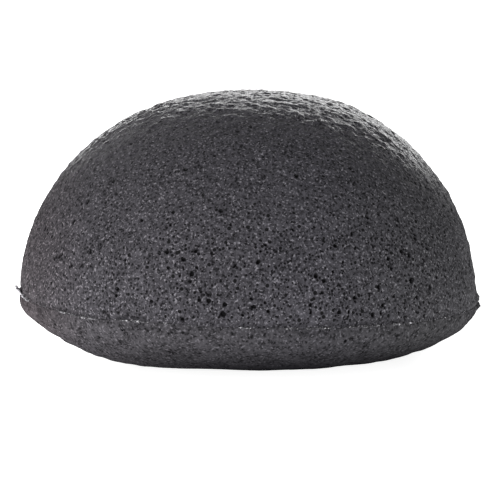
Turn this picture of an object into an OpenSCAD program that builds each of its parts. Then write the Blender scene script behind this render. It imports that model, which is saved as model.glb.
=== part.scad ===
// Half-ball facial sponge, cast in one piece from open-celled plant-fibre foam.
// The mould parts where the dome meets the shallow underside. The casting has a
// fine-celled skin on each side of that line, a thin torn fin along it, and the
// open-celled core inside. Millimetres, +Z up, resting on Z = 0.

/* [Body] */
// Widest diameter of the half ball, at its parting line
body_d = 80; // [76:0.5:90]
// Rise of the dome above the parting line
dome_h = 35.7; // [33:0.1:37]
// Radius of the flatter crown on top of the dome
crown_r = 55; // [48:0.5:65]

/* [Underside] */
// Depth of the underside below the parting line
base_h = 9; // [7.5:0.1:10.5]
// Radius with which the side turns in below the parting line
bilge_r = 5; // [3.5:0.1:6]
// Diameter of the flat spot that the sponge rests on
rest_d = 50; // [40:0.5:54]

/* [Skin] */
// Thickness of the fine-celled skin over the core
skin_t = 1.6; // [1.3:0.1:2.5]

/* [Parting line] */
// Tilt of the mould's parting plane, lower towards +X, in degrees
seam_tilt = 1.5; // [0:0.1:2.5]
// Reach of the fin past the side of the body
fin_reach = 0.5; // [0.3:0.05:0.9]
// Thickness of the fin where it leaves the body
fin_root_t = 0.8; // [0.5:0.05:1.2]
// Thickness of the fin at its edge
fin_edge_t = 0.3; // [0.2:0.05:0.45]
// Number of nicks torn out of the fin's edge
nick_count = 22; // [8:1:40]
// Width of the widest nick
nick_w = 4.5; // [2:0.25:6]
// Depth of the deepest nick
nick_depth = 0.35; // [0.1:0.05:0.4]
// Reach of the two torn lips past the fin's edge
lip_reach = 0.45; // [0.2:0.05:0.8]
// Width of a torn lip along the fin's edge
lip_w = 14; // [8:0.5:20]
// Width of the crease round the dome, just above the fin
crease_w = 0.5; // [0.3:0.05:0.6]
// Depth of that crease
crease_depth = 0.3; // [0.1:0.05:0.4]

/* [Open pores] */
// Number of places over the dome where a large pore may open
dome_pore_places = 150; // [60:5:200]
// Number of places round the underside where a large pore may open
base_pore_places = 30; // [12:1:40]
// Diameter of the smallest large pore
pore_min_d = 0.6; // [0.4:0.05:0.75]
// Diameter of the largest pore
pore_max_d = 1.2; // [0.8:0.05:1.6]

/* [Hidden] */

// Smoothness of the body
$fn = 240;
// An open cell has flat walls, like a cell in any foam
pore_sides = 8;
// Length by which a cutting shape runs past what it cuts
overrun = 2;

body_r = body_d / 2;
rest_r = rest_d / 2;
fin_r = body_r + fin_reach;
// Height of the parting plane's centre over the surface that the sponge rests on
seam_z = base_h;
// Half the height by which the tilted parting plane rises across the body
seam_rise = body_r * tan(seam_tilt);

// Radii of two arcs that run on into each other: a corner that leaves an upright
// side, and a broad arc that ends level at the top. The broad arc's centre is
// "span" in from the side, and "rise" is the height of the whole curve.
function corner_radius(span, rise, broad_r) =
    (pow(broad_r, 2) - pow(span, 2) - pow(broad_r - rise, 2)) / (2 * (broad_r - span));
function broad_radius(span, rise, corner_r) =
    (pow(span - corner_r, 2) + pow(rise, 2) - pow(corner_r, 2)) / (2 * (rise - corner_r));
// Angle above level at which the corner runs on into the broad arc
function join_angle(span, rise, corner_r, broad_r) =
    atan2(broad_r - rise, span - corner_r);
// Point of such a curve where its surface faces "lift" degrees above level
function curve_point(reach, rise, corner_r, broad_r, flat_r, lift) =
    lift < join_angle(reach - flat_r, rise, corner_r, broad_r)
        ? [reach - corner_r + corner_r * cos(lift), corner_r * sin(lift)]
        : [flat_r + broad_r * cos(lift), rise - broad_r + broad_r * sin(lift)];

shoulder_r = corner_radius(body_r, dome_h, crown_r);
dish_r = broad_radius(body_r - rest_r, base_h, bilge_r);

// Pores: the golden angle spreads the places evenly, and a seeded draw shifts,
// sizes and picks them, most often on the side that faces -Y and a little +X
golden_angle = 180 * (3 - sqrt(5));
pore_seed = 41;
rich_side = -70;
poorest_share = 0.35;
// Share of the space between places by which a place is shifted
shift_share = 0.2;
dome_draw = rands(0, 1, 4 * dome_pore_places, pore_seed);
base_draw = rands(0, 1, 4 * base_pore_places, pore_seed + 1);
// Least and greatest lift of a pore on the dome and on the underside, in degrees
dome_pore_lift = [asin((seam_rise + fin_root_t + pore_max_d) / shoulder_r), 86];
base_pore_lift = [52, 76];

// Fin: where its lips stand, and how its nicks vary
lip_angles = [188, 0];
nick_seed = 7;
nick_draw = rands(0, 1, 2 * nick_count, nick_seed);
least_nick_share = 0.4;
// Turn that keeps the start of the fin's and a pore's outline clear of the body's own
start_turn = 77;

// Quarter outline of one half of the body: a flat up to flat_r, a broad arc and a
// corner that ends upright at "reach"
module half_outline(reach, rise, corner_r, broad_r, flat_r) {
    join = join_angle(reach - flat_r, rise, corner_r, broad_r);
    far = broad_r + reach;
    intersection() {
        square([reach, rise]);
        union() {
            intersection() {
                translate([flat_r, rise - broad_r])
                    circle(r = broad_r);
                translate([flat_r, rise - broad_r])
                    polygon([[0, 0], [far * cos(join), far * sin(join)], [0, far]]);
            }
            translate([reach - corner_r, 0])
                circle(r = corner_r);
            if (flat_r > 0)
                square([flat_r, rise]);
        }
    }
}

// Whole body inside its surface by "inset": the dome over the mirrored underside
module body_form(inset) {
    translate([0, 0, seam_z])
        rotate_extrude() {
            half_outline(body_r - inset, dome_h - inset, shoulder_r - inset, crown_r - inset, 0);
            mirror([0, 1])
                half_outline(body_r - inset, base_h - inset, bilge_r - inset, dish_r - inset, rest_r);
        }
}

// Puts its children on the tilted parting plane
module on_parting_plane() {
    translate([0, 0, seam_z])
        rotate([0, seam_tilt, 0])
            children();
}

// Block on one side of the parting plane, larger than the body: side 1 is above
module mould_half(side) {
    block_h = body_d + overrun;
    on_parting_plane()
        translate([0, 0, side * block_h / 2])
            cube([body_d + 2 * overrun, body_d + 2 * overrun, block_h], center = true);
}

// One pore: an open cell with flat walls, as deep as its radius
module pore(spot, lift, turn, r) {
    rotate([0, 0, turn])
        translate([spot[0], 0, spot[1]])
            rotate([0, 90 - lift, 0])
                rotate(start_turn)
                    cylinder(r = r, h = 2 * r, center = true, $fn = pore_sides);
}

// Share of the places that are open at an angle round the body
function open_share(turn) =
    poorest_share + (1 - poorest_share) * (1 + cos(turn - rich_side)) / 2;
function pore_r(draw) =
    (pore_min_d + (pore_max_d - pore_min_d) * pow(draw, 2)) / 2;

// Pores over the dome: equal steps in height give equal areas
module dome_pores() {
    low = sin(dome_pore_lift[0]);
    high = sin(dome_pore_lift[1]);
    place_gap = 360 * sqrt(1 / dome_pore_places) / PI;
    translate([0, 0, seam_z])
        for (i = [0 : dome_pore_places - 1]) {
            level = low + (high - low) * (i + 0.5) / dome_pore_places;
            lift = asin(level) + place_gap * shift_share * (dome_draw[4 * i] - 0.5);
            turn = i * golden_angle
                + place_gap * shift_share * (dome_draw[4 * i + 1] - 0.5) / cos(lift);
            if (dome_draw[4 * i + 2] < open_share(turn))
                pore(curve_point(body_r, dome_h, shoulder_r, crown_r, 0, lift), lift, turn,
                    pore_r(dome_draw[4 * i + 3]));
        }
}

// Pores round the underside, between its bilge and its flat spot
module base_pores() {
    step = 360 / base_pore_places;
    translate([0, 0, seam_z])
        mirror([0, 0, 1])
            for (i = [0 : base_pore_places - 1]) {
                lift = base_pore_lift[0]
                    + (base_pore_lift[1] - base_pore_lift[0]) * base_draw[4 * i];
                turn = step * (i + shift_share * base_draw[4 * i + 1]);
                if (base_draw[4 * i + 2] < open_share(turn))
                    pore(curve_point(body_r, base_h, bilge_r, dish_r, rest_r, lift), lift, turn,
                        pore_r(base_draw[4 * i + 3]));
            }
}

// Crease above the fin: a groove with two sloping walls that meet at its depth
module crease() {
    middle = (fin_root_t + crease_w) / 2;
    on_parting_plane()
        rotate(start_turn)
            rotate_extrude()
                polygon([
                    [body_r - crease_depth, middle],
                    [body_r + crease_depth, middle - crease_w],
                    [body_r + crease_depth, middle + crease_w]
                ]);
}

// Fin before it is torn: a wedge round the body, thinner towards its edge, that
// starts inside the body so that the body's own surface cuts its root
module fin_ring() {
    root_r = body_r - skin_t / 2;
    edge_r = fin_r + lip_reach;
    slope = (fin_root_t - fin_edge_t) / 2 / (edge_r - body_r);
    root_half = fin_edge_t / 2 + slope * (edge_r - root_r);
    rotate_extrude()
        polygon([
            [root_r, -root_half],
            [edge_r, -fin_edge_t / 2],
            [edge_r, fin_edge_t / 2],
            [root_r, root_half]
        ]);
}

// Radius of a circle with a chord of the given width that it bulges past by "depth"
function bulge_radius(width, depth) =
    (pow(width / 2, 2) + pow(depth, 2)) / (2 * depth);

// Outline of the torn fin in the parting plane. A lip's two ends lie on the fin's edge
module fin_outline() {
    lip_turn = lip_w / fin_r / 2 * 180 / PI;
    lip_bulge_r = bulge_radius(2 * fin_r * sin(lip_turn), lip_reach + fin_r * (1 - cos(lip_turn)));
    difference() {
        circle(r = fin_r);
        for (i = [0 : nick_count - 1]) {
            size = least_nick_share + (1 - least_nick_share) * nick_draw[2 * i];
            bulge_r = bulge_radius(nick_w * size, nick_depth * size);
            rotate((i + nick_draw[2 * i + 1] * shift_share) * 360 / nick_count)
                translate([fin_r - nick_depth * size + bulge_r, 0])
                    circle(r = bulge_r);
        }
    }
    for (angle = lip_angles)
        rotate(angle)
            translate([fin_r + lip_reach - lip_bulge_r, 0])
                circle(r = lip_bulge_r);
}

module foam_core() {
    color([0.20, 0.20, 0.21])
        body_form(skin_t);
}

module dome_skin() {
    color([0.27, 0.26, 0.27])
        difference() {
            intersection() {
                body_form(0);
                mould_half(1);
            }
            body_form(skin_t);
            dome_pores();
            crease();
        }
}

module base_skin() {
    color([0.24, 0.24, 0.25])
        difference() {
            intersection() {
                body_form(0);
                mould_half(-1);
            }
            body_form(skin_t);
            base_pores();
        }
}

module seam_flash() {
    color([0.36, 0.35, 0.35])
        difference() {
            on_parting_plane()
                intersection() {
                    rotate(start_turn)
                        fin_ring();
                    translate([0, 0, -fin_root_t])
                        linear_extrude(2 * fin_root_t)
                            fin_outline();
                }
            body_form(0);
        }
}

foam_core();
dome_skin();
base_skin();
seam_flash();
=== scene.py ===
"""Charcoal half-ball facial sponge on a pale table, in soft studio light.

The sponge is one casting of plant-fibre foam: a dome, a shallow underside, the thin
torn fin where the two halves of its mould met, and the open-celled core inside. Each
surface is worked out from the sponge's sizes with numpy, in metres, +Z up, standing on
Z = 0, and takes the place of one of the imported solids.
"""

import logging
import math
from dataclasses import dataclass
from enum import Enum, IntEnum
from functools import cached_property
from itertools import product

import bpy
import numpy as np
from mathutils import Euler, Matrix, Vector


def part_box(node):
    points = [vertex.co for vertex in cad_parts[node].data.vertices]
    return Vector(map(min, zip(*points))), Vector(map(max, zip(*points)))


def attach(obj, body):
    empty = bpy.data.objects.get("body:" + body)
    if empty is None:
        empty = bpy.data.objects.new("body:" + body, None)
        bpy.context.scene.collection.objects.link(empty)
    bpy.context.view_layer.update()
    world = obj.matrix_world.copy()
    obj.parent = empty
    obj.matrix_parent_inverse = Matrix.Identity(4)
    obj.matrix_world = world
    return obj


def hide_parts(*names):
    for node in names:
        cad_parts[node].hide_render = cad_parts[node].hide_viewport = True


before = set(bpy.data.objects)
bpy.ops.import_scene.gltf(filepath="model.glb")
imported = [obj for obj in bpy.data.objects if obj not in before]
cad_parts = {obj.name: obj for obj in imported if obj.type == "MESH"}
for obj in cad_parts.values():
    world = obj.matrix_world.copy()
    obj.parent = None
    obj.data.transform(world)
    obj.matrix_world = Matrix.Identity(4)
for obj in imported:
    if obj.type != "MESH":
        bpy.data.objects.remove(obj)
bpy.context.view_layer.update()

log = logging.getLogger("sponge")

Array = np.ndarray
Marks = dict[str, Array]
Socket = bpy.types.NodeSocket
Span = tuple[float, float]
Ramp = tuple[Span, Span]
Colour = tuple[float, float, float]
Paint = Socket | Colour

MM = 0.001
FULL_TURN = 2 * math.pi
# Room that the lattices of random numbers fill, a little larger than the sponge
ROOM_LOW = np.array([-45.0, -45.0, -4.0]) * MM
ROOM_HIGH = np.array([45.0, 45.0, 50.0]) * MM
# Draws of a foam cell: three for its centre, one for whether it is open, one for its size
CELL_LANES = 5
IS_OPEN, SIZE = 3, 4
# Marks that a surface carries from point to point for its finish, each from 0 to 1: how
# much painted shade it takes (in a pore, beside the parting line, in a shade patch), what
# share of the pores is open, and how much painted glint it takes on the fin
MARKS = ("pit", "open", "glint")
DOME_LINES, QUICK_LINES, BASE_LINES = 781, 281, 421
# Flat map: scale and centre of a skin's disc and of the core's two, then the strips of a
# skin's inner wall, of the triangles at its pole and of the fin
SKIN_DISC = (0.455, (0.5, 0.465))
CORE_DISCS = (((0.24, 0.48), (0.25, 0.5)), ((0.24, 0.48), (0.75, 0.5)))
WALL_STRIP, POLE_STRIP, FIN_STRIP = (0.93, 0.99), (0.99, 1.0), (0.01, 0.99)


class Side(Enum):
    """Half of the mould that a surface was cast against."""

    DOME = 1
    BASE = -1


class Seed(IntEnum):
    """Seeds of the noises that all the pieces share."""

    SWELL = 11
    PATCHES = 23
    CORE = 31
    SHOWS = 45


# Seeds and sizes across of the fin's noises: long and short tears, fraying, sway, beads
FIN_NOISES = ((41, 2.6 * MM), (42, 0.9 * MM), (43, 0.45 * MM), (44, 3.4 * MM), (46, 1.5 * MM))


class Draw(IntEnum):
    """What each noise of a foam surface adds to the surface's own seed."""

    BEND = 2
    CELLS = 3
    PORES = 4
    WIDE_BEND = 6
    LIP = 8
    RIPPLE = 10
    LUMP = 11
    PEBBLE = 14


def held(value: Array) -> Array:
    """Values held between 0 and 1."""
    return np.clip(value, 0.0, 1.0)


def eased(low: float, high: float, value: Array) -> Array:
    """Share from 0 at low to 1 at high, level at both ends: 3 s^2 - 2 s^3.

    High may be the smaller of the two.
    """
    share = held((value - low) / (high - low))
    return share * share * (3.0 - 2.0 * share)


def fading(least: float, low: float, high: float, value: Array) -> Array:
    """Factor that is least at low and 1 at high, eased between them."""
    return least + (1.0 - least) * eased(low, high, value)


def hump(centre: float, width: float, value: Array) -> Array:
    """Bell curve of height 1 at centre: exp(-((value - centre) / width)^2)."""
    return np.exp(-(((value - centre) / width) ** 2))


def arc(middle: float, width: float, turn: Array) -> Array:
    """Bell curve of the turn round the axis; middle and width are in degrees."""
    aside = np.mod(turn - math.radians(middle) + math.pi, FULL_TURN) - math.pi
    return hump(0.0, math.radians(width), aside)


def bells(spots: tuple[tuple[float, ...], ...], points: Array) -> Array:
    """Sum of round bells, each height exp(-(gap / width)^2) at a gap from its centre.

    Args:
        spots: X, Y and Z of each bell's centre and its width, in millimetres, and its
            height in any unit.
        points: Places, one row each.

    Returns:
        The sum at each point, in the unit of the heights.
    """
    total = np.zeros(len(points))
    for *centre, width, height in spots:
        gap_squared = ((points - np.array(centre) * MM) ** 2).sum(axis=1)
        total += height * np.exp(-gap_squared / (width * MM) ** 2)
    return total


def cup(near: Array, radius: Array | float) -> Array:
    """Hollow of a foam cell, from 1 at its centre to 0: 1 - (near / radius)^2."""
    return held(1.0 - (near / radius) ** 2)


def linked(name: str, data: bpy.types.ID) -> bpy.types.Object:
    """Makes an object of some data and links it to the scene."""
    thing = bpy.data.objects.new(name, data)
    bpy.context.scene.collection.objects.link(thing)
    return thing


@dataclass(frozen=True)
class Lattice:
    """Seeded random numbers at the points of a cubic lattice that fills the room.

    Attributes:
        cell: Edge of one cube of the lattice.
        seed: Seed of the draw.
        lanes: How many numbers each lattice point holds.
    """

    cell: float
    seed: int
    lanes: int = 1

    @cached_property
    def counts(self) -> Array:
        """Lattice points along X, Y and Z, with a spare one or two at each end."""
        return np.ceil((ROOM_HIGH - ROOM_LOW) / self.cell).astype(np.int64) + 4

    @cached_property
    def draws(self) -> Array:
        """The random numbers, one row for each lattice point."""
        rng = np.random.default_rng(self.seed)
        return rng.random((int(self.counts.prod()), self.lanes), dtype=np.float32)

    def step(self, shift: tuple[int, int, int]) -> int:
        """Rows from a lattice point to the one that lies shift cubes away."""
        _, ny, nz = self.counts
        return int((shift[0] * ny + shift[1]) * nz + shift[2])

    def split(self, points: Array) -> tuple[Array, Array]:
        """Row of the lowest corner of each point's cube, and its place inside as shares."""
        scaled = (points - ROOM_LOW) / self.cell + 1.0
        cube = np.floor(scaled)
        ix, iy, iz = cube.astype(np.int64).T
        _, ny, nz = self.counts
        return (ix * ny + iy) * nz + iz, (scaled - cube).astype(np.float32)

    def soft(self, points: Array) -> Array:
        """Soft noise from -1 to 1: the eight corners' numbers, mixed by eased shares."""
        row, inside = self.split(points)
        ease = inside**3 * (inside * (inside * 6.0 - 15.0) + 10.0)
        total = np.zeros(len(points), np.float32)
        for corner in product((0, 1), repeat=3):
            weight = np.prod(np.where(corner, ease, 1.0 - ease), axis=1)
            total += weight * self.draws[row + self.step(corner), 0]
        return 2.0 * total - 1.0

    def nearest(self, points: Array) -> tuple[Array, Array]:
        """Foam cells: each cube holds one centre, moved about by its first three draws.

        Returns:
            Distance from each point to the nearest centre, and that centre's draws.
        """
        row, inside = self.split(points)
        least = np.full(len(points), np.inf, np.float32)
        owner = row.copy()
        for shift in product((-1, 0, 1), repeat=3):
            other = row + self.step(shift)
            centre = self.draws[other, :3] + np.array(shift, np.float32)
            gap = np.sqrt(((centre - inside) ** 2).sum(axis=1))
            closer = gap < least
            owner = np.where(closer, other, owner)
            least = np.where(closer, gap, least)
        return least * self.cell, self.draws[owner]


@dataclass(frozen=True)
class Half:
    """Quarter outline of one half of the sponge, walked from its axis to its widest line.

    It is a flat, a broad arc and a corner that ends upright, each running on into the
    next, as in the source of the solids.

    Attributes:
        reach: Radius at the widest line.
        rise: Height of the half.
        corner_r: Radius of the corner.
        broad_r: Radius of the broad arc.
        flat_r: Radius of the flat round the axis.
    """

    reach: float
    rise: float
    corner_r: float
    broad_r: float
    flat_r: float

    @property
    def join(self) -> float:
        """Lift, as an angle above level, where the corner meets the broad arc."""
        span = self.reach - self.flat_r - self.corner_r
        return math.atan2(self.broad_r - self.rise, span)

    @property
    def length(self) -> float:
        """Length of the whole outline."""
        broad = self.broad_r * (math.pi / 2 - self.join)
        return self.flat_r + broad + self.corner_r * self.join

    def inset(self, depth: float) -> "Half":
        """The same outline, a depth inside the surface."""
        sizes = (self.reach, self.rise, self.corner_r, self.broad_r)
        return Half(*(size - depth for size in sizes), self.flat_r)

    def at(self, walk: Array) -> tuple[Array, Array, Array]:
        """Follows the outline: flat, then broad arc, then corner.

        Args:
            walk: Distances along the outline from the axis.

        Returns:
            Radius, height above the widest line and lift of the normal at each distance.
        """
        broad_lift = math.pi / 2 - (walk - self.flat_r) / self.broad_r
        corner_lift = (self.length - walk) / self.corner_r
        on_broad = broad_lift > self.join
        lift = np.minimum(np.where(on_broad, broad_lift, corner_lift), math.pi / 2)
        size = np.where(on_broad, self.broad_r, self.corner_r)
        centre = np.where(on_broad, self.flat_r, self.reach - self.corner_r)
        radius = centre + size * np.cos(lift)
        height = np.where(on_broad, self.rise - self.broad_r, 0.0) + size * np.sin(lift)
        return np.where(walk < self.flat_r, walk, radius), height, lift


@dataclass(frozen=True)
class SpongeForm:
    """Plain form of the sponge and the soft unevenness that all its pieces share.

    Attributes:
        body_r: Radius at the parting line.
        dome_h: Height of the dome over the parting line.
        base_h: Depth of the underside below it.
        crown_r: Radius of the flatter crown.
        bilge_r: Radius with which the underside turns in.
        rest_r: Radius of the flat spot that the sponge rests on.
        skin_t: Thickness of the skins.
        lean: Tilt of the parting line, lower towards +X, in radians.
        bulges: Soft bulges of the casting, where a true body of revolution falls short:
            X, Y and Z of the centre, width and height of each, in millimetres.
        sags: Where the parting line hangs below its plane: angle from +X and half the
            width in degrees, and depth.
        swell: Height of the casting's broad unevenness, and its size across.
    """

    body_r: float
    dome_h: float
    base_h: float = 9.0 * MM
    crown_r: float = 55.0 * MM
    bilge_r: float = 5.0 * MM
    rest_r: float = 25.0 * MM
    skin_t: float = 1.6 * MM
    lean: float = math.radians(1.5)
    bulges: tuple[tuple[float, ...], ...] = (
        (17.0, 4.0, 41.0, 12.0, 0.60),
        (-6.0, 4.0, 44.5, 10.0, 0.12),
        (-39.5, -1.0, 5.6, 3.6, 0.72),
        (39.0, 0.0, 6.0, 5.0, 0.45),
        (34.0, -8.0, 2.5, 8.0, 0.38),
        (-32.0, -11.0, 1.5, 5.0, -0.52),
        (-24.0, -21.0, 0.6, 6.0, 0.32),
        (-16.0, -24.5, 0.2, 7.0, 0.48),
        (2.5, -27.0, 0.3, 8.0, 0.28),
        (13.0, -26.0, 0.2, 6.5, 0.27),
        (24.0, -21.0, 0.6, 5.5, 0.30),
    )
    sags: tuple[tuple[float, float, float], ...] = (
        (201.0, 8.0, 0.25 * MM),
        (225.5, 11.0, 0.58 * MM),
    )
    swell: Span = (0.22 * MM, 13.0 * MM)

    @classmethod
    def from_solids(cls) -> "SpongeForm":
        """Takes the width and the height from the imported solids' boxes."""
        low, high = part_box("dome_skin")
        return cls(body_r=(high.x - low.x) / 2, dome_h=high.z - cls.base_h)

    def half(self, side: Side) -> Half:
        """Outline of the dome or of the underside."""
        if side is Side.DOME:
            span, rise, broad = self.body_r, self.dome_h, self.crown_r
            corner = (broad**2 - span**2 - (broad - rise) ** 2) / (2 * (broad - span))
            return Half(span, rise, corner, broad, 0.0)
        span, rise, corner = self.body_r - self.rest_r, self.base_h, self.bilge_r
        broad = ((span - corner) ** 2 + rise**2 - corner**2) / (2 * (rise - corner))
        return Half(self.body_r, rise, corner, broad, self.rest_r)

    def swelling(self, points: Array) -> Array:
        """Broad unevenness of the casting at each point."""
        height, size = self.swell
        return height * Lattice(size, Seed.SWELL).soft(points)

    def bulge(self, points: Array) -> Array:
        """Height of the soft bulges at each point."""
        return bells(self.bulges, points) * MM

    def seam_shows(self, points: Array) -> Array:
        """How clearly the parting line shows, broken in places and faint at the sides."""
        shows = fading(0.5, -0.5, 0.4, Lattice(8.0 * MM, Seed.SHOWS).soft(points))
        right = fading(0.3, 38.0 * MM, 26.0 * MM, points[:, 0])
        return shows * right * fading(0.5, -36.0 * MM, -28.0 * MM, points[:, 0])

    def drop(self, x: Array, turn: Array) -> Array:
        """How far the parting line lies below its middle height.

        It leans by x tan(lean), and each sag is a bell curve of the turn.
        """
        total = x * math.tan(self.lean)
        for middle, width, depth in self.sags:
            total = total + depth * arc(middle, width, turn)
        return total

    def place(
        self, half: Half, side: Side, walk: Array, turn: Array, proud: Array | float
    ) -> Array:
        """Puts points of an outline round the axis and leans the parting line.

        The point is (r cos turn, r sin turn, seam +/- z), moved out along the normal by
        proud. It is lowered by the parting line's drop, which fades with the square of
        the distance to the crown, and straight down to the flat.

        Args:
            half: Outline to follow.
            side: Which half of the sponge the outline is.
            walk: Distances along it from the axis.
            turn: Angles round the axis.
            proud: Distance out from the outline, along its normal.

        Returns:
            Points, one row each.
        """
        radius, height, lift = half.at(walk)
        radius = radius + proud * np.cos(lift)
        height = height + proud * np.sin(lift)
        x, y = radius * np.cos(turn), radius * np.sin(turn)
        fade = held(1.0 - height / half.rise) ** (2 if side is Side.DOME else 1)
        z = self.base_h + side.value * height - self.drop(x, turn) * fade
        return np.stack([x, y, z], axis=-1)


@dataclass(frozen=True)
class DiscGrid:
    """Square grid of points bent into a disc, so that it has no pole.

    Attributes:
        lines: Grid lines along each side, an odd number.
    """

    lines: int

    @cached_property
    def square(self) -> tuple[Array, Array]:
        """Grid coordinates from -1 to 1, column by column and row by row."""
        step = np.linspace(-1.0, 1.0, self.lines)
        across, up = np.meshgrid(step, step)
        return across.ravel(), up.ravel()

    @cached_property
    def polar(self) -> tuple[Array, Array]:
        """Radius from 0 to 1 and angle of every grid point.

        Each square ring becomes a circle: r = max(|u|, |v|), and a side is a quarter turn.
        """
        across, up = self.square
        radius = np.maximum(np.abs(across), np.abs(up))
        wide = np.abs(across) >= np.abs(up)
        safe = np.where(radius == 0.0, 1.0, np.where(wide, across, up))
        part = np.where(wide, up, across) / safe * math.pi / 4
        turn = np.where(wide, part, math.pi / 2 - part)
        turn = turn + np.where(safe < 0.0, math.pi, 0.0)
        return radius, turn

    @cached_property
    def index(self) -> Array:
        """Number of each grid point, rows by columns."""
        return np.arange(self.lines**2).reshape(self.lines, self.lines)

    @cached_property
    def quads(self) -> Array:
        """Faces of the grid, anticlockwise seen from above."""
        index = self.index
        corners = (index[:-1, :-1], index[:-1, 1:], index[1:, 1:], index[1:, :-1])
        return np.stack([c.ravel() for c in corners], axis=1)

    @cached_property
    def border(self) -> Array:
        """Points on the edge of the disc, anticlockwise from the lower right corner."""
        index = self.index
        return np.concatenate(
            [index[:-1, -1], index[-1, :0:-1], index[:0:-1, 0], index[0, :-1]]
        )

    def flat(self, scale: float | Span, centre: Span) -> Array:
        """Places of the faces' corners in the flat map, faces by corners by 2."""
        return (np.stack(self.square, axis=1) * np.array(scale) + np.array(centre))[self.quads]


class Patchwork:
    """Mesh data gathered from several patches before it becomes one mesh."""

    def __init__(self) -> None:
        """Starts with nothing in it."""
        self.points: list[Array] = []
        self.marks: dict[str, list[Array]] = {name: [] for name in MARKS}
        self.faces: list[Array] = []
        self.maps: list[Array] = []
        self.count = 0

    def add_points(self, points: Array, marks: Marks | None = None) -> Array:
        """Adds points.

        Args:
            points: Places, one row each.
            marks: Marks of the points by name; those left out are 0.

        Returns:
            Their indices.
        """
        index = np.arange(self.count, self.count + len(points))
        self.points.append(points)
        for name, parts in self.marks.items():
            parts.append((marks or {}).get(name, np.zeros(len(points))))
        self.count += len(points)
        return index

    def add_faces(self, faces: Array, places: Array, flip: bool) -> None:
        """Adds faces of one kind, all with as many corners.

        Args:
            faces: Point indices, one row a face.
            places: Flat-map place of each corner, faces by corners by 2.
            flip: Whether the faces are turned over.
        """
        self.faces.append(faces[:, ::-1] if flip else faces)
        self.maps.append(places[:, ::-1] if flip else places)

    def add_band(self, rings: Array, strip: Span, flip: bool, loop: bool = False) -> None:
        """Adds the quads between closed rings of points.

        Args:
            rings: Point indices, rings by points.
            strip: Lower and upper edge of the strip that the quads take in the flat map.
            flip: Whether the faces are turned over.
            loop: Whether the last ring joins the first one.
        """
        levels, count = rings.shape
        tiers = levels if loop else levels - 1
        tier, column = (
            a.ravel() for a in np.meshgrid(np.arange(tiers), np.arange(count), indexing="ij")
        )
        up, right = (tier + 1) % levels, (column + 1) % count
        faces = np.stack(
            [rings[tier, column], rings[tier, right], rings[up, right], rings[up, column]], axis=1
        )
        low, high = strip
        across = np.stack([column, column + 1, column + 1, column], axis=1) / count
        along = low + (high - low) * np.stack([tier, tier, tier + 1, tier + 1], axis=1) / tiers
        self.add_faces(faces, np.stack([across, along], axis=-1), flip)

    def add_cap(self, ring: Array, centre: int, strip: Span, flip: bool) -> None:
        """Closes a ring of points with triangles to one point, laid out as a strip."""
        low, high = strip
        count = len(ring)
        column = np.arange(count)
        faces = np.stack([ring, np.roll(ring, -1), np.full(count, centre)], axis=1)
        across = np.stack([column, column + 1, column + 0.5], axis=1) / count
        along = np.tile([low, low, high], (count, 1))
        self.add_faces(faces, np.stack([across, along], axis=-1), flip)

    def to_object(self, name: str) -> bpy.types.Object:
        """Makes the mesh and its object of the same name, linked to the scene."""
        mesh = bpy.data.meshes.new(name)
        sizes = np.concatenate([np.full(len(f), f.shape[1]) for f in self.faces])
        loops = np.concatenate([f.ravel() for f in self.faces]).astype(np.int32)
        starts = np.concatenate([[0], np.cumsum(sizes)[:-1]]).astype(np.int32)
        mesh.vertices.add(self.count)
        mesh.vertices.foreach_set("co", np.concatenate(self.points).astype(np.float32).ravel())
        mesh.loops.add(len(loops))
        mesh.loops.foreach_set("vertex_index", loops)
        mesh.polygons.add(len(sizes))
        mesh.polygons.foreach_set("loop_start", starts)
        flat_map = mesh.uv_layers.new(name="OFBake")
        places = np.concatenate([m.reshape(-1, 2) for m in self.maps]).astype(np.float32)
        flat_map.uv.foreach_set("vector", places.ravel())
        for mark, parts in self.marks.items():
            values = mesh.attributes.new(mark, "FLOAT", "POINT").data
            values.foreach_set("value", np.concatenate(parts).astype(np.float32))
        mesh.polygons.foreach_set("use_smooth", np.ones(len(sizes), bool))
        mesh.update(calc_edges=True)
        mesh.validate()
        return linked(name, mesh)


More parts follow.
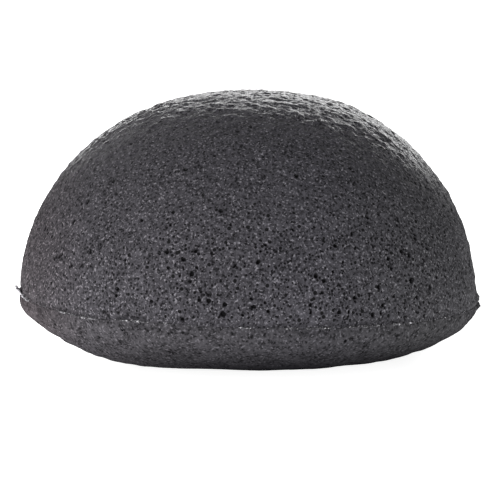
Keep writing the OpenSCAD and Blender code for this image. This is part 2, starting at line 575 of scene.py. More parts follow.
@dataclass(frozen=True)
class FoamRelief:
    """Fine unevenness of a foam surface, down to single cells.

    Attributes:
        seed: Seed of its draws, to which each noise adds its own number.
        ripple: Height of the finger-wide unevenness, and its size across.
        lump: Height of the pebbly unevenness, and its size across.
        pebble: Height of the pebbles on the crown, and their size across.
        crown: Heights between which the pebbles grow to their full height.
        cell: Size across of the fine cells.
        cell_depth: Depth of a closed fine cell, and of an open one.
        cell_r: Radius of a closed fine cell, and of an open one, as shares of its size.
        open_share: Share of the fine cells that are open.
        pore: Spacing of the places where a large pore may open.
        pore_r: Least and greatest radius of a large pore.
        pore_depth: Its depth as a multiple of its radius.
        black: Depth at which the painted shade in a hollow is full.
    """

    seed: int
    ripple: Span = (0.07 * MM, 3.1 * MM)
    lump: Span = (0.12 * MM, 1.1 * MM)
    pebble: Span = (0.11 * MM, 1.0 * MM)
    crown: Span = (18.0 * MM, 37.0 * MM)
    cell: float = 0.62 * MM
    cell_depth: Span = (0.14 * MM, 0.36 * MM)
    cell_r: Span = (0.62, 0.42)
    open_share: float = 0.20
    pore: float = 1.3 * MM
    pore_r: Span = (0.17 * MM, 0.44 * MM)
    pore_depth: float = 1.7
    black: float = 0.30 * MM

    def noise(self, draw: Draw, height: float, size: float, points: Array) -> Array:
        """Soft noise of a height and a size across, from the surface's own draws."""
        return height * Lattice(size, self.seed + draw).soft(points)

    def fine(self, points: Array, rich: Array) -> tuple[Array, Array]:
        """Ripple, lumps, pebbles, fine cells and large pores, measured from the swell.

        Ripple, lumps and pebbles are soft noise. A fine cell is a cup. A pore is a pit
        with steep sides, whose rim is bent by noise.

        Args:
            points: Places, one row each.
            rich: Share of the large pores that are open at each place.

        Returns:
            Height, mostly below 0, and how deep in a pore each point lies, from 0 to 1, which
            sets its painted shade.
        """
        crown = eased(*self.crown, points[:, 2])
        height = np.zeros(len(points))
        height += self.noise(Draw.RIPPLE, *self.ripple, points)
        height += self.noise(Draw.LUMP, *self.lump, points)
        height += self.noise(Draw.PEBBLE, *self.pebble, points) * crown

        # More cells are open where pores are, closed ones vary, and the crown's are shallow
        near, draws = Lattice(self.cell, self.seed + Draw.CELLS, CELL_LANES).nearest(points)
        is_open = draws[:, IS_OPEN] < self.open_share * (0.4 + 1.2 * rich)
        (shut, deep), (shut_r, open_r) = self.cell_depth, self.cell_r
        depth = np.where(is_open, deep, shut * (0.35 + 0.65 * draws[:, SIZE]))
        radius = self.cell * np.where(is_open, open_r, shut_r)
        cell = depth * cup(near, radius) * (1.0 - 0.5 * crown)

        # Large pores are rarer than small ones, and their sides go down within their rim
        near, draws = Lattice(self.pore, self.seed + Draw.PORES, CELL_LANES).nearest(points)
        least, most = self.pore_r
        radius = least + (most - least) * draws[:, SIZE] ** 2
        bend = self.noise(Draw.BEND, 0.3, 0.5 * MM, points)
        bend += self.noise(Draw.WIDE_BEND, 0.3, 1.1 * MM, points)
        inside = eased(1.1, 0.7, near * (1.0 + bend) / radius) * (draws[:, IS_OPEN] < rich)
        pit = self.pore_depth * radius * inside

        depth = np.maximum(cell, pit)
        # How deep in a hollow a point lies sets its painted shade
        return height - depth, held(depth / self.black)

    def lip(self, away: Array, turn: Array, points: Array) -> Array:
        """Ragged swelling beside the parting line at its right end.

        Its height is a bell curve of the distance from the line times a bell curve of
        the turn from +X, and noise ragged as the torn edge is.
        """
        ragged = 0.75 + self.noise(Draw.LIP, 0.5, 1.1 * MM, points)
        return 0.60 * MM * ragged * hump(0.65 * MM, 0.42 * MM, away) * arc(0.0, 13.0, turn)


@dataclass(frozen=True)
class Wiring:
    """Adds nodes to one node tree, each with one short call.

    Attributes:
        tree: The node tree.
    """

    tree: bpy.types.NodeTree

    @classmethod
    def material(cls, name: str) -> tuple["Wiring", bpy.types.Material, Socket]:
        """Makes a material: its wiring, itself, and where on the piece is being shaded."""
        material = bpy.data.materials.new(name)
        material.use_nodes = True
        place = material.node_tree.nodes.new("ShaderNodeTexCoord").outputs["Object"]
        return cls(material.node_tree), material, place

    def feed(self, value: Paint | float, socket: Socket) -> None:
        """Links a value to a socket, or sets a fixed number or colour there."""
        if isinstance(value, Socket):
            self.tree.links.new(value, socket)
        else:
            socket.default_value = (*value, 1.0) if isinstance(value, tuple) else value

    def math(self, kind: str, first: Socket, second: Socket | float) -> Socket:
        """Adds a sum, product or other operation on two values."""
        node = self.tree.nodes.new("ShaderNodeMath")
        node.operation = kind
        self.feed(first, node.inputs[0])
        self.feed(second, node.inputs[1])
        return node.outputs["Value"]

    def ramp(self, value: Socket, ramp: Ramp, kind: str = "LINEAR") -> Socket:
        """Adds a range map from one span of values to another, held at its ends."""
        node = self.tree.nodes.new("ShaderNodeMapRange")
        node.interpolation_type = kind
        taken, given = ramp
        for name, number in zip(("From Min", "From Max", "To Min", "To Max"), (*taken, *given)):
            node.inputs[name].default_value = number
        self.feed(value, node.inputs["Value"])
        return node.outputs["Result"]

    def mix(
        self, share: Socket | float, first: Paint, second: Paint, kind: str = "MIX"
    ) -> Socket:
        """Adds a mix of two colours."""
        node = self.tree.nodes.new("ShaderNodeMix")
        node.data_type = "RGBA"
        node.blend_type = kind
        for slot, value in ((0, share), (6, first), (7, second)):
            self.feed(value, node.inputs[slot])
        return node.outputs[2]

    def texture(self, kind: str, place: Socket, size: float, detail: float) -> bpy.types.Node:
        """Adds a noise or cell texture whose grains are about size across."""
        node = self.tree.nodes.new(kind)
        node.inputs["Scale"].default_value = 1.0 / size
        node.inputs["Detail"].default_value = detail
        self.feed(place, node.inputs["Vector"])
        return node

    def noise(self, place: Socket, size: float, detail: float) -> Socket:
        """Adds a noise texture."""
        return self.texture("ShaderNodeTexNoise", place, size, detail).outputs["Fac"]

    def cells(self, place: Socket, size: float) -> bpy.types.Node:
        """Adds a cell texture."""
        return self.texture("ShaderNodeTexVoronoi", place, size, 0.0)

    def bend(self, place: Socket, size: float, strength: float) -> Socket:
        """Moves places about by coloured noise, up to strength times its size."""
        noise = self.texture("ShaderNodeTexNoise", place, size, 1.0)
        bent = self.tree.nodes.new("ShaderNodeVectorMath")
        bent.operation = "MULTIPLY_ADD"
        bent.inputs[1].default_value = (size * strength,) * 3
        self.feed(noise.outputs["Color"], bent.inputs[0])
        self.feed(place, bent.inputs[2])
        return bent.outputs["Vector"]

    def axes(self, place: Socket) -> bpy.types.NodeOutputs:
        """Splits places into their X, Y and Z."""
        node = self.tree.nodes.new("ShaderNodeSeparateXYZ")
        self.feed(place, node.inputs["Vector"])
        return node.outputs

    def mark(self, name: str) -> Socket:
        """Reads one of the surface's own marks."""
        node = self.tree.nodes.new("ShaderNodeAttribute")
        node.attribute_name = name
        return node.outputs["Fac"]


@dataclass(frozen=True)
class FoamFinish:
    """Procedural look of charcoal foam.

    Each ramp is a span of values that it takes and the span that it gives.

    Attributes:
        name: Name of the material.
        dark: Colour of the foam's thin walls and hollows; the darker hollows of the cells are
            painted shade.
        light: Colour of its raised walls.
        fibre: Colour of the painted glints: the light specks, and the fin's lip, curl and beads.
        pit: Colour of the painted shade: in pores and pinholes, beside the parting line, in the
            shade patches and towards the bottom.
        tints: Stops of the tint across the sponge: X in millimetres and colour of each.
        bottom_shade: Heights between which the foam darkens towards the bottom, a painted shade.
        bottom_shade_strength: Share of its colour that it loses at the lower height.
        bottom_shade_side: From X to a factor on that share, weaker on the left, where the light
            falls.
        grain: Size across of the finest grain.
        grain_ramp: From the grain to how light the foam is.
        cell: Size across of the cells between the walls.
        wall_ramp: From the distance to a cell's centre to how light the foam is: painted shade,
            darker in the cell's hollow and lighter on its walls.
        hole: Spacing of the pinholes.
        hole_r: Least and greatest radius of a pinhole, as a share of the spacing.
        ring: How much lighter the wall round a pinhole is, a painted highlight.
        patch: Size across of the broad mottling.
        mottle: Strength of the broad mottling.
        bump: Height of the finest grain.
        crown: Heights between which the dull sides turn into the glossier crown.
        roughness: Roughness of the sides and of the crown.
        gloss: Strength of its reflections.
        speck: Share of the glint colour in a speck, which is a painted glint.
        speck_span: Values of the specks' noise between which they come out.
        glint_ramp: From the grain to how much of a painted glint on the fin shows.
    """

    name: str
    dark: Colour
    light: Colour
    fibre: Colour = (0.20, 0.195, 0.215)
    pit: Colour = (0.006, 0.006, 0.007)
    tints: tuple[tuple[float, ...], ...] = (
        (-38.0, 1.12, 1.0, 0.98),
        (-27.0, 1.04, 1.0, 1.0),
        (12.0, 1.02, 1.0, 1.02),
        (30.0, 1.0, 1.0, 0.97),
    )
    bottom_shade: Span = (0.5 * MM, 8.0 * MM)
    bottom_shade_strength: float = 0.85
    bottom_shade_side: Ramp = ((-24.0 * MM, -4.0 * MM), (0.6, 1.0))
    grain: float = 0.31 * MM
    grain_ramp: Ramp = ((0.385, 0.625), (0.0, 0.56))
    cell: float = 0.7 * MM
    wall_ramp: Ramp = ((0.16, 0.56), (-0.12, 0.54))
    hole: float = 1.05 * MM
    hole_r: Span = (0.13, 0.34)
    ring: float = 0.65
    patch: float = 7.0 * MM
    mottle: float = 0.06
    bump: float = 0.07 * MM
    crown: Span = (23.5 * MM, 35.0 * MM)
    roughness: Span = (0.85, 0.345)
    gloss: float = 0.25
    speck: float = 1.0
    speck_span: Span = (0.595, 0.70)
    glint_ramp: Ramp = ((0.42, 0.56), (0.1, 1.0))

    def material(self) -> bpy.types.Material:
        """Builds the material.

        The colour runs from dark to light by fine grain, by painted shade in the hollows of
        bent cells and by broad mottling. Painted shade darkens it in pores and pinholes, beside
        the parting line, in the shade patches and towards the bottom; painted glints lighten
        the specks, the walls round the pinholes and the fin's marked places; and it is tinted
        across the sponge by its X. The bump is the grain and the cells again, with the
        pinholes sunk in.
        """
        wiring, material, place = Wiring.material(self.name)
        shader = wiring.tree.nodes["Principled BSDF"]
        shader.inputs["Specular IOR Level"].default_value = self.gloss

        grain = wiring.noise(place, self.grain, 2.0)
        cells = wiring.cells(wiring.bend(place, self.cell, 1.0), self.cell).outputs["Distance"]
        marks = {name: wiring.mark(name) for name in MARKS}
        hole, ring = self._pinholes(wiring, place, marks["open"])

        mottle = wiring.noise(place, self.patch, 2.0)
        # Painted shade in the cells' hollows, lighter on their walls, with the grain and the
        # mottling
        share = wiring.math(
            "ADD", wiring.ramp(grain, self.grain_ramp), wiring.ramp(cells, self.wall_ramp)
        )
        patch = wiring.ramp(mottle, ((0.3, 0.7), (-self.mottle, self.mottle)))
        share = wiring.math("ADD", wiring.math("ADD", share, patch), ring)
        foam = wiring.mix(share, self.dark, self.light)
        # Painted glints: specks a little coarser than the grain
        speck_glint = wiring.noise(place, 1.2 * self.grain, 1.0)
        speck_glint = wiring.ramp(speck_glint, (self.speck_span, (0.0, self.speck)))
        # Painted glints on the fin's edge, where its mark says, broken up by the grain
        frayed = wiring.math("MULTIPLY", marks["glint"], wiring.ramp(grain, self.glint_ramp))
        foam = wiring.mix(wiring.math("MAXIMUM", speck_glint, frayed), foam, self.fibre)
        # Painted shade: pores, pinholes, the strip beside the parting line and the shade patches
        # take the pit colour
        foam = wiring.mix(wiring.math("MAXIMUM", marks["pit"], hole), foam, self.pit)

        axes = wiring.axes(place)
        tinted = wiring.mix(1.0, foam, self._tint(wiring, axes["X"]), "MULTIPLY")
        # Painted shade, darker towards the bottom and weaker on the left
        bottom_shade = wiring.ramp(axes["Z"], (self.bottom_shade, (self.bottom_shade_strength, 0.0)))
        bottom_shade = wiring.math("MULTIPLY", bottom_shade, wiring.ramp(axes["X"], self.bottom_shade_side))
        wiring.feed(wiring.mix(bottom_shade, tinted, self.pit), shader.inputs["Base Color"])
        rough = wiring.ramp(axes["Z"], (self.crown, self.roughness))
        wiring.feed(rough, shader.inputs["Roughness"])

        relief = wiring.math("ADD", grain, wiring.ramp(cells, ((0.0, 0.6), (0.0, 1.0))))
        bump = wiring.tree.nodes.new("ShaderNodeBump")
        bump.inputs["Strength"].default_value = 1.0
        bump.inputs["Distance"].default_value = self.bump
        wiring.feed(wiring.math("SUBTRACT", relief, hole), bump.inputs["Height"])
        wiring.feed(bump.outputs["Normal"], shader.inputs["Normal"])
        return material

    def _tint(self, wiring: Wiring, across: Socket) -> Socket:
        """Adds the tint: its stops, with straight mixes between them."""
        low, high = self.tints[0][0], self.tints[-1][0]
        node = wiring.tree.nodes.new("ShaderNodeValToRGB")
        stops = node.color_ramp.elements
        for place, *_ in self.tints[1:-1]:
            stops.new((place - low) / (high - low))
        for stop, (_, *colour) in zip(stops, self.tints):
            stop.color = (*colour, 1.0)
        wiring.feed(wiring.ramp(across, ((low * MM, high * MM), (0.0, 1.0))), node.inputs["Fac"])
        return node.outputs["Color"]

    def _pinholes(self, wiring: Wiring, place: Socket, opened: Socket) -> tuple[Socket, Socket]:
        """Adds bent pinholes: a cell's own draws say whether it has one, and how large.

        Args:
            wiring: Node tree of the material.
            place: Places on the sponge.
            opened: Share of the holes that are open.

        Returns:
            A value from 0 outside to 1 in a hole, for its painted shade, and how much lighter its
            rim is, a painted highlight.
        """
        spots = wiring.cells(wiring.bend(place, self.cell, 0.35), self.hole)
        draws = wiring.tree.nodes.new("ShaderNodeSeparateColor")
        wiring.feed(spots.outputs["Color"], draws.inputs["Color"])
        radius = wiring.ramp(draws.outputs["Green"], ((0.0, 1.0), self.hole_r))
        ratio = wiring.math("DIVIDE", spots.outputs["Distance"], radius)
        # The hole's painted shade ends near its radius, and the painted highlight on the wall
        # round it at 1.8 times that
        inside = wiring.ramp(ratio, ((0.9, 1.06), (1.0, 0.0)))
        rim = wiring.ramp(ratio, ((1.08, 1.8), (self.ring, 0.0)))
        # A little more than the share, so that every hole opens where it is 1
        share = wiring.math("MULTIPLY", opened, 1.05)
        is_open = wiring.math("LESS_THAN", draws.outputs["Red"], share)
        return wiring.math("MULTIPLY", inside, is_open), wiring.math("MULTIPLY", rim, is_open)


DOME_FINISH = FoamFinish(
    "dome_foam",
    dark=(0.001, 0.001, 0.002),
    light=(0.094, 0.092, 0.105),
    fibre=(0.265, 0.26, 0.286),
)
BASE_FINISH = FoamFinish(
    "base_foam",
    dark=(0.014, 0.014, 0.015),
    light=(0.092, 0.0905, 0.099),
    fibre=(0.185, 0.182, 0.199),
    # Painted shade, darker towards the bottom of the underside
    bottom_shade=(0.1 * MM, 7.0 * MM),
    bottom_shade_strength=1.0,
    grain=0.36 * MM,
    cell=0.85 * MM,
    patch=2.3 * MM,
    mottle=0.27,
    gloss=0.0,
    speck=0.9,
)
FIN_FINISH = FoamFinish(
    "fin_foam",
    dark=(0.008, 0.008, 0.009),
    light=(0.08, 0.078, 0.085),
    # White painted glints on the fin's lip, curl and beads
    fibre=(0.95, 0.93, 0.98),
    tints=((-38.0, 1.0, 1.0, 1.0), (38.0, 1.0, 1.0, 1.0)),
)
CORE_FINISH = FoamFinish("core_foam", dark=(0.02, 0.02, 0.021), light=(0.06, 0.06, 0.062))


@dataclass
class FoamPiece:
    """One zone of the casting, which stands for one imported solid.

    Attributes:
        form: Plain form of the sponge.
    """

    form: SpongeForm

    def dress(self, piece: bpy.types.Object, finish: FoamFinish, node: str) -> None:
        """Gives a piece its finish and its place in the frame.

        Args:
            piece: The new object.
            finish: Its look, which has the name of the material slot.
            node: Name of the solid that it stands for.
        """
        piece.data.materials.append(finish.material())
        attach(piece, "root")
        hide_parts(node)
        mesh = piece.data
        log.info("%s: %d vertices, %d faces", piece.name, len(mesh.vertices), len(mesh.polygons))


@dataclass
class MouldedSkin(FoamPiece):
    """Fine-celled skin that was cast against one half of the mould.

    Attributes:
        side: Which half.
        names: Name of its piece, and of the solid that it stands for.
        lines: Grid lines across its outer surface.
        relief: Unevenness of its surface.
        finish: Its look.
        crease_depth: Depth of the groove beside the parting line.
        crease_shade: How dark the painted shade beside the parting line is, from 0 to 1.
        crease_w: How far that strip of painted shade reaches.
        pores: Share of the large pores that are open high up, and what is added low down.
        least_pores: Least share of them.
        patchy: How strongly that share varies from patch to patch.
        shade_patches: Soft patches of painted shade: X, Y and Z of the centre and width, in
            millimetres, and darkness.
        inner_rings: Rings of points along the inner wall.
    """

    side: Side
    names: tuple[str, str]
    lines: int
    relief: FoamRelief
    finish: FoamFinish
    crease_depth: float
    crease_shade: float
    crease_w: float
    pores: Span = (0.06, 0.60)
    least_pores: float = 0.02
    patchy: float = 0.9
    # A soft patch of painted shade near the left end of the parting line
    shade_patches: tuple[tuple[float, ...], ...] = ((-34.8, -17.6, 9.2, 2.9, 0.42),)
    inner_rings: int = 14

    def richness(self, points: Array) -> Array:
        """Share of the large pores that are open at each point, more low down and right."""
        high_up, low_down = self.pores
        low = eased(34.0 * MM, 20.0 * MM, points[:, 2])
        right = fading(0.3, -36.0 * MM, -18.0 * MM, points[:, 0])
        patches = 1.0 + self.patchy * Lattice(9.0 * MM, Seed.PATCHES).soft(points)
        return np.clip((high_up + low_down * low * right) * patches, self.least_pores, 0.9)

    def outer(self, grid: DiscGrid) -> tuple[Array, Marks]:
        """Outer surface: the form's outline over a disc grid, moved by the relief.

        Returns:
            Points, one for each of the grid, and their marks.
        """
        form, half = self.form, self.form.half(self.side)
        share, turn = grid.polar
        walk = share * half.length
        away = half.length - walk
        plain = form.place(half, self.side, walk, turn, 0.0)
        # The relief sets in off the parting line and, like the swell, off the flat spot
        calm = eased(0.25 * MM, 0.9 * MM, away)
        swell = form.swelling(plain)
        if self.side is Side.BASE:
            swell = swell * eased(form.rest_r, form.rest_r + 6.0 * MM, walk)
            calm = calm * eased(form.rest_r, form.rest_r + 9.0 * MM, walk)
        rich = self.richness(plain)
        fine, dark = self.relief.fine(plain, rich)
        shows = form.seam_shows(plain)
        # The groove and the strip of painted shade have their middle half a millimetre from the
        # line
        crease, seam = (shows * hump(0.5 * MM, w, away) for w in (0.5 * MM, self.crease_w))
        proud = swell + calm * fine - self.crease_depth * crease
        proud += self.relief.lip(away, turn, plain) + form.bulge(plain)
        points = form.place(half, self.side, walk, turn, proud)
        points[:, 2] = np.maximum(points[:, 2], 0.0)
        # Painted shade: deep in the hollows, beside the parting line and in the shade patches
        dark = np.maximum(dark * calm, self.crease_shade * seam)
        dark = np.maximum(dark, bells(self.shade_patches, plain))
        return points, {"pit": dark, "open": rich * calm}

    def build(self) -> None:
        """Builds the skin as one closed shell and dresses it."""
        grid = DiscGrid(self.lines)
        patch = Patchwork()
        outer = patch.add_points(*self.outer(grid))
        below = self.side is Side.BASE
        patch.add_faces(outer[grid.quads], grid.flat(*SKIN_DISC), flip=below)

        turn = grid.polar[1][grid.border]
        inner = self.form.half(self.side).inset(self.form.skin_t)
        rings = [outer[grid.border]]
        for share in np.linspace(1.0, 0.0, self.inner_rings + 1)[:-1]:
            walk = np.full(len(turn), share * inner.length)
            rings.append(patch.add_points(self.form.place(inner, self.side, walk, turn, 0.0)))
        patch.add_band(np.stack(rings), WALL_STRIP, flip=not below)
        start = np.zeros(1)
        pole = patch.add_points(self.form.place(inner, self.side, start, start, 0.0))
        patch.add_cap(rings[-1], int(pole[0]), POLE_STRIP, flip=not below)
        name, node = self.names
        self.dress(patch.to_object(name), self.finish, node)


@dataclass
class FoamCore(FoamPiece):
    """Open-celled inside of the sponge, just clear of the skins' inner walls.

    Attributes:
        lines: Grid lines across each half.
        gap: Clearance to the skins.
        cell: Size across of an open cell.
        cell_r: Radius of its cup.
        cell_depth: Depth of its cup.
    """

    lines: int = 161
    gap: float = 0.05 * MM
    cell: float = 1.9 * MM
    cell_r: float = 0.55 * 1.9 * MM
    cell_depth: float = 0.45 * MM

    def build(self) -> None:
        """Builds the core as two disc grids that share their border."""
        grid = DiscGrid(self.lines)
        patch = Patchwork()
        share, turn = grid.polar
        cells = Lattice(self.cell, Seed.CORE, CELL_LANES)
        index = []
        for side in Side:
            half = self.form.half(side).inset(self.form.skin_t + self.gap)
            walk = share * half.length
            near, _ = cells.nearest(self.form.place(half, side, walk, turn, 0.0))
            hollow = cup(near, self.cell_r)
            points = self.form.place(half, side, walk, turn, -self.cell_depth * hollow)
            # The cups take painted shade
            index.append(patch.add_points(points, {"pit": hollow}))
        upper, lower = index
        lower[grid.border] = upper[grid.border]
        for rows, disc, flip in zip(index, CORE_DISCS, (False, True)):
            patch.add_faces(rows[grid.quads], grid.flat(*disc), flip)
        self.dress(patch.to_object("open_celled_core"), CORE_FINISH, "foam_core")


@dataclass
class SeamFin(FoamPiece):
    """Thin torn fin along the parting line, with a frayed lip and a curl on the left.

    Attributes:
        columns: Points round the sponge.
        section: Points round the fin's cross-section.
        square: Power that squares the cross-section; 1 leaves it an ellipse.
        root: How far the fin starts inside the surface.
        reach: Least and greatest reach past the surface.
        root_t: Thickness where it leaves the surface.
        edge_t: Thickness at its edge.
        lip_at: Angle from +X of the frayed lip and half its width, in degrees.
        curl_at: The same for the curl.
        beads: Where the edge thickens into beads, which take painted glints: angle from +X
            and half the width of each bead in degrees, and its strength.
    """

    columns: int = 3000
    section: int = 14
    square: float = 0.7
    root: float = 0.5 * MM
    reach: Span = (-0.22 * MM, 0.34 * MM)
    root_t: float = 0.55 * MM
    edge_t: float = 0.14 * MM
    lip_at: Span = (190.0, 8.0)
    curl_at: Span = (185.0, 4.5)
    beads: tuple[tuple[float, float, float], ...] = (
        (187.5, 1.2, 1.0),
        (192.0, 1.5, 1.0),
        (197.3, 1.4, 1.0),
        (217.8, 0.55, 0.7),
        (222.1, 0.55, 0.6),
        (225.5, 0.7, 0.7),
        (228.4, 0.8, 0.6),
        (262.5, 1.0, 0.3),
        (269.9, 0.5, 0.7),
        (284.5, 0.5, 0.4),
        (299.5, 0.5, 0.6),
        (303.0, 0.5, 0.6),
        (309.3, 0.8, 0.8),
    )

    def build(self) -> None:
        """Carries a tapered, round-edged section round the leaning parting line.

        The section is a squashed superellipse: outwards it runs from the root to the
        edge, and its half thickness falls from the root to the edge. Noise round the
        sponge tears the edge, and beads, lip and curl lengthen and thicken it.
        """
        form = self.form
        turn = np.arange(self.columns) / self.columns * FULL_TURN
        level = np.full(self.columns, form.base_h)
        ring = np.stack([form.body_r * np.cos(turn), form.body_r * np.sin(turn), level], axis=1)
        long_tear, shred, fray, swing, clots = (
            Lattice(size, seed).soft(ring) for seed, size in FIN_NOISES
        )
        tear = 0.6 * long_tear + 0.4 * shred
        shows = form.seam_shows(ring)
        lip, curl = arc(*self.lip_at, turn), arc(*self.curl_at, turn)
        bead = 0.08 * eased(0.2, 0.5, clots)
        for middle, width, bead_strength in self.beads:
            bead = np.maximum(bead, bead_strength * arc(middle, width, turn))

        # How far the edge reaches past the surface: worn all round, ragged on the lip
        low, high = self.reach
        worn = 0.1 + 0.6 * tear + 0.25 * fray + 0.3 * shows + 0.6 * bead
        ragged = 0.22 + 0.45 * fray + 0.25 * tear + 0.3 * bead
        reach = low + (high - low) * held(worn) + (lip * held(ragged) + 0.15 * curl) * MM

        # The cross-section, its points down the rows, which sways and turns up in the curl
        around = (np.arange(self.section) / self.section * FULL_TURN)[:, None]
        waves = (np.cos(around), np.sin(around))
        out, thick = (np.sign(wave) * np.abs(wave) ** self.square for wave in waves)
        outward = -self.root + (reach + self.root) * (out + 1.0) / 2
        share = (outward + self.root) / (reach + self.root)
        edge_t = self.edge_t + (0.26 + 0.14 * lip) * MM * bead + 0.22 * MM * curl
        upward = (self.root_t + (edge_t - self.root_t) * share) / 2 * thick
        sway = 0.10 * MM * swing + 0.30 * MM * lip * (0.5 + 0.9 * fray)
        upward += sway * held(outward / (0.3 * MM))
        upward += 0.65 * MM * curl * (0.8 + 0.5 * fray) * held(outward / (0.45 * MM))

        # Painted glints on the fin: a little all round, more in the beads and where lip and curl
        # fray
        glint = 0.05 * held(0.9 * (tear + fray) + 1.2 * shows - 0.4) + (0.3 + 0.6 * lip) * bead
        frayed = np.maximum(lip * eased(0.05, 0.3, shred), curl * eased(-0.5, 0.3, fray))
        glint = np.maximum(glint, 0.9 * frayed) * eased(0.1, 0.4, share)

        radius = form.body_r + outward + form.swelling(ring) + form.bulge(ring)
        x, y = radius * np.cos(turn), radius * np.sin(turn)
        z = form.base_h + upward - form.drop(x, turn)
        patch = Patchwork()
        rows = patch.add_points(np.stack([x, y, z], axis=-1).reshape(-1, 3), {"glint": glint.ravel()})
        patch.add_band(rows.reshape(self.section, self.columns), FIN_STRIP, flip=False, loop=True)
        self.dress(patch.to_object("torn_fin"), FIN_FINISH, "seam_flash")


@dataclass(frozen=True)
class SoftLight:
    """Flat, soft, white light that faces the sponge.

    Attributes:
        name: Its name.
        azimuth: Direction from the sponge, in degrees from +X towards +Y.
        elevation: Height above level, in degrees.
        distance: Distance from the sponge.
        size: Its width and height.
        power: Power in watts.
    """

    name: str
    azimuth: float
    elevation: float
    distance: float
    size: Span
    power: float


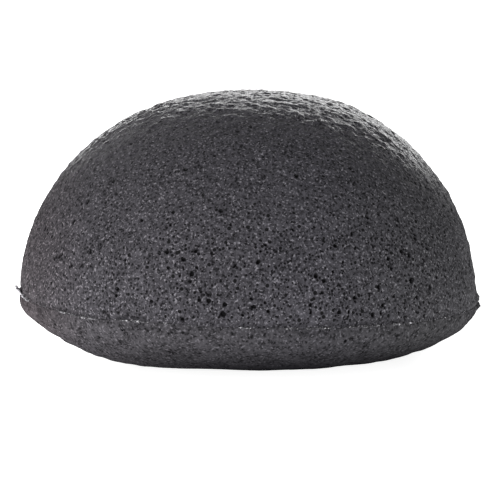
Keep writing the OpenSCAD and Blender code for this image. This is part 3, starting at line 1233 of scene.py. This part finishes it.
@dataclass
class Studio:
    """Camera, light and table of the photograph.

    Attributes:
        form: Form of the sponge, for the height of its parting line.
        distance: Camera to the middle of the parting plane.
        elevation: Height of the camera above that point, in degrees.
        focal_px: Focal length in pixels of the photograph.
        photo_px: Width and height of the photograph in pixels.
        seam_px: Where the middle of the parting plane lies in it.
        ambient: From how far up a direction points to the strength of its light.
        shaded: From how far towards +X it points, where a dark screen stands, to a factor.
        table_r: Half the width of the table.
        table_grey: Its colour.
        table_glow: From the distance to the sponge's middle to how strongly it glows.
        table_sides: From X to factors on its glow, brightest close to the sponge's left.
        lights: The soft lights.
    """

    form: SpongeForm
    distance: float = 0.7
    elevation: float = 8.0
    focal_px: float = 3977.0
    photo_px: tuple[int, int] = (500, 490)
    seam_px: Span = (248.39, 294.68)
    ambient: Ramp = ((0.0, 1.0), (0.5, 0.27))
    shaded: Ramp = ((-0.2, 1.0), (1.0, 0.5))
    table_r: float = 6.0
    table_grey: Colour = (0.72, 0.72, 0.72)
    table_glow: Ramp = ((22.0 * MM, 27.0 * MM), (0.0, 0.9))
    table_sides: tuple[Ramp, ...] = (
        ((-85.0 * MM, -50.0 * MM), (1.0, 2.1)),
        ((-38.0 * MM, -18.0 * MM), (1.0, 0.476)),
        ((26.0 * MM, 42.0 * MM), (1.0, 1.4)),
        ((48.0 * MM, 130.0 * MM), (1.0, 0.46)),
    )
    lights: tuple[SoftLight, ...] = (
        SoftLight("left_softbox", 236.0, 3.5, 1.2, (0.6, 0.14), 4.3),
        SoftLight("back_softbox", 82.2, 16.5, 1.1, (0.58, 0.2), 2.25),
        SoftLight("right_shoulder_softbox", 68.0, 4.5, 1.1, (0.26, 0.18), 0.7),
        SoftLight("left_shoulder_softbox", 101.0, 5.0, 1.1, (0.22, 0.14), 0.7),
    )

    def place_camera(self) -> None:
        """Sets the camera on the -Y side and aims it so that the framing is the photograph's."""
        data = bpy.data.cameras.new("camera")
        data.sensor_width = 36.0
        data.lens = data.sensor_width * self.focal_px / self.photo_px[0]
        data.clip_start, data.clip_end = 0.01, 20.0
        camera = linked("camera", data)
        lift = math.radians(self.elevation)
        away = Vector((0.0, -math.cos(lift), math.sin(lift))) * self.distance
        camera.location = away + Vector((0.0, 0.0, self.form.base_h))
        up = math.atan((self.seam_px[1] - self.photo_px[1] / 2) / self.focal_px)
        right = math.atan((self.photo_px[0] / 2 - self.seam_px[0]) / self.focal_px)
        camera.rotation_euler = Euler((math.pi / 2 - lift + up, 0.0, -right))
        bpy.context.scene.camera = camera

    def set_lights(self) -> None:
        """Adds the soft lights, which the camera doesn't see."""
        middle = Vector((0.0, 0.0, self.form.base_h + self.form.dome_h / 3))
        for light in self.lights:
            data = bpy.data.lights.new(light.name, "AREA")
            data.shape = "RECTANGLE"
            data.size, data.size_y = light.size
            data.energy = light.power
            lamp = linked(light.name, data)
            turn, lift = math.radians(light.azimuth), math.radians(light.elevation)
            level = math.cos(lift)
            way = Vector((math.cos(turn) * level, math.sin(turn) * level, math.sin(lift)))
            lamp.location = middle + way * light.distance
            lamp.rotation_euler = (-way).to_track_quat("-Z", "Y").to_euler()
            lamp.visible_camera = False

    def set_world(self) -> None:
        """Adds the light from all round, weaker from above and from +X."""
        world = bpy.data.worlds.new("studio")
        world.use_nodes = True
        wiring = Wiring(world.node_tree)
        background = world.node_tree.nodes["Background"]
        background.inputs["Color"].default_value = (1.0, 1.0, 1.0, 1.0)
        way = wiring.axes(world.node_tree.nodes.new("ShaderNodeTexCoord").outputs["Generated"])
        fall, shade = wiring.ramp(way["Z"], self.ambient), wiring.ramp(way["X"], self.shaded)
        wiring.feed(wiring.math("MULTIPLY", fall, shade), background.inputs["Strength"])
        bpy.context.scene.world = world
        bpy.context.scene.view_settings.view_transform = "Standard"

    def lay_table(self) -> None:
        """Adds the white table, which glows softly as a light table does."""
        mesh = bpy.data.meshes.new("table")
        corners = ((-1, -1), (1, -1), (1, 1), (-1, 1))
        # Just under the sponge, so that the two surfaces don't coincide
        places = [(x * self.table_r, y * self.table_r, -0.02 * MM) for x, y in corners]
        mesh.from_pydata(places, [], [(0, 1, 2, 3)])
        wiring, material, place = Wiring.material("table")
        shader = wiring.tree.nodes["Principled BSDF"]
        shader.inputs["Base Color"].default_value = (*self.table_grey, 1.0)
        shader.inputs["Roughness"].default_value = 0.9
        shader.inputs["Emission Color"].default_value = (1.0, 1.0, 1.0, 1.0)
        away = wiring.tree.nodes.new("ShaderNodeVectorMath")
        away.operation = "LENGTH"
        wiring.feed(place, away.inputs[0])
        glow = wiring.ramp(away.outputs["Value"], self.table_glow, "SMOOTHSTEP")
        across = wiring.axes(place)["X"]
        for side in self.table_sides:
            glow = wiring.math("MULTIPLY", glow, wiring.ramp(across, side, "SMOOTHSTEP"))
        wiring.feed(glow, shader.inputs["Emission Strength"])
        mesh.materials.append(material)
        table = linked("table", mesh)

    def build(self) -> None:
        """Sets up the whole studio."""
        self.place_camera()
        self.set_lights()
        self.set_world()
        self.lay_table()
        log.info("studio: %d soft lights", len(self.lights))


def main() -> None:
    """Builds the studio and the sponge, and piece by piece."""
    logging.basicConfig(level=logging.INFO, format="%(message)s")
    form = SpongeForm.from_solids()
    Studio(form).build()
    FoamCore(form).build()
    MouldedSkin(
        form,
        Side.DOME,
        ("pored_dome", "dome_skin"),
        lines=DOME_LINES,
        relief=FoamRelief(101),
        finish=DOME_FINISH,
        crease_depth=0.34 * MM,
        # Painted shade above the parting line
        crease_shade=0.34,
        crease_w=0.75 * MM,
    ).build()
    MouldedSkin(
        form,
        Side.BASE,
        ("shallow_underside", "base_skin"),
        lines=BASE_LINES,
        relief=FoamRelief(
            201,
            ripple=(0.16 * MM, 3.4 * MM),
            lump=(0.13 * MM, 1.7 * MM),
            cell_depth=(0.05 * MM, 0.15 * MM),
            open_share=0.05,
        ),
        finish=BASE_FINISH,
        crease_depth=0.12 * MM,
        # Painted shade below the parting line
        crease_shade=0.2,
        crease_w=2.0 * MM,
        pores=(0.04, 0.0),
        least_pores=0.01,
        patchy=1.75,
    ).build()
    SeamFin(form).build()


if __name__ == "__main__":
    main()
